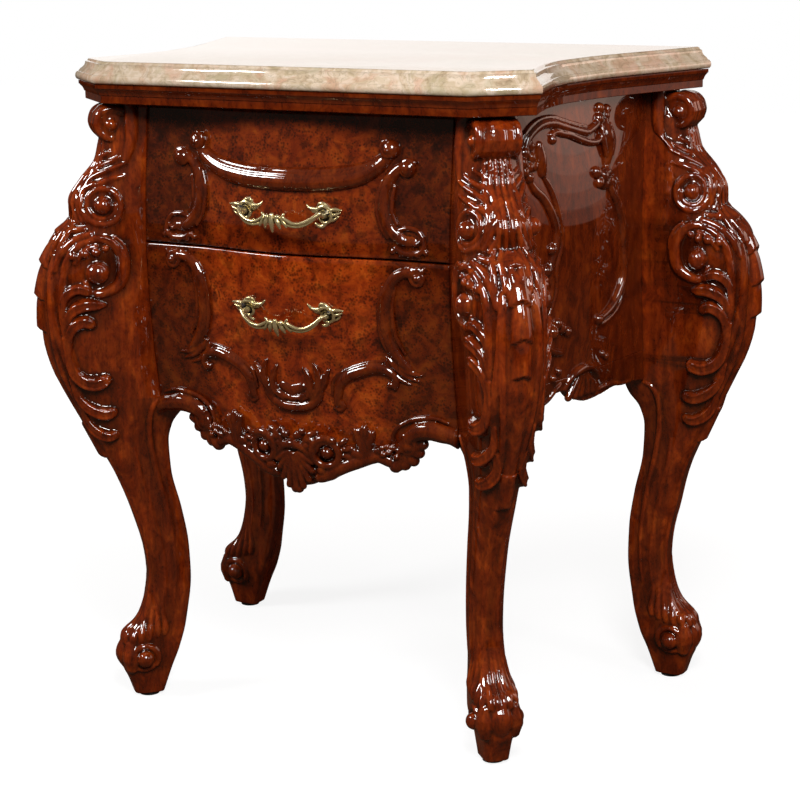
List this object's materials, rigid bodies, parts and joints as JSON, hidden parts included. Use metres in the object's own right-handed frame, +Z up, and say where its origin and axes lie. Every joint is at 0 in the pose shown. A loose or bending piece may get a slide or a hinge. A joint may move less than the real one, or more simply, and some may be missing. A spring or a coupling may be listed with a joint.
{
  "type": "nightstand",
  "caption": "Carved bombé bedside table with a moulded marble top on a wooden cornice, cabriole legs, panelled sides and sliding drawers with cast brass pulls.",
  "frame": {"origin": "middle of the overall box, on the floor", "axes": "+Z up; the drawers face -Y; +X to the right as seen from the front"},
  "size_m": [0.7574, 0.4062, 0.69],
  "materials": {
    "mahogany": "carved, stained red-brown, thick gloss lacquer",
    "burl": "burl veneer under gloss lacquer",
    "lining": "planed and oiled",
    "marble": "polished",
    "brass": "cast, antique patina",
    "steel": "zinc plated",
    "nylon": "moulded"
  },
  "bodies": {
    "case": {"marble_top": "marble", "cornice_front": "mahogany", "cornice_left": "mahogany", "cornice_right": "mahogany", "cornice_back": "mahogany", "sub_top": "lining", "leg_front_left": "mahogany", "leg_front_right": "mahogany", "leg_rear_left": "mahogany", "leg_rear_right": "mahogany", "foot_glide_front_left": "nylon", "foot_glide_front_right": "nylon", "foot_glide_rear_left": "nylon", "foot_glide_rear_right": "nylon", "side_panel_left": "mahogany", "side_panel_right": "mahogany", "side_apron_left": "mahogany", "side_apron_right": "mahogany", "side_frame_left": "mahogany", "side_frame_right": "mahogany", "back_panel": "lining", "top_rail": "lining", "divider_rail": "lining", "bottom_rail": "lining", "upper_runner_left": "lining", "upper_runner_right": "lining", "lower_runner_left": "lining", "lower_runner_right": "lining"},
    "upper_drawer": {"upper_drawer_front": "burl", "upper_drawer_side_left": "lining", "upper_drawer_side_right": "lining", "upper_drawer_back": "lining", "upper_drawer_bottom": "lining", "upper_handle": "brass", "upper_handle_screw_left": "steel", "upper_handle_screw_right": "steel", "upper_swag": "mahogany", "upper_scroll_left": "mahogany", "upper_scroll_right": "mahogany"},
    "lower_drawer": {"lower_drawer_front": "burl", "lower_drawer_side_left": "lining", "lower_drawer_side_right": "lining", "lower_drawer_back": "lining", "lower_drawer_bottom": "lining", "lower_handle": "brass", "lower_handle_screw_left": "steel", "lower_handle_screw_right": "steel", "lower_scroll_left": "mahogany", "lower_scroll_right": "mahogany", "lower_garland": "mahogany", "apron_carving": "mahogany"}
  },
  "joints": [
    {"name": "upper_drawer_slide", "type": "slide", "parent": "case", "child": "upper_drawer", "axis": [0, -1, 0], "range_m": [0, 0.2]},
    {"name": "lower_drawer_slide", "type": "slide", "parent": "case", "child": "lower_drawer", "axis": [0, -1, 0], "range_m": [0, 0.2]}
  ]
}
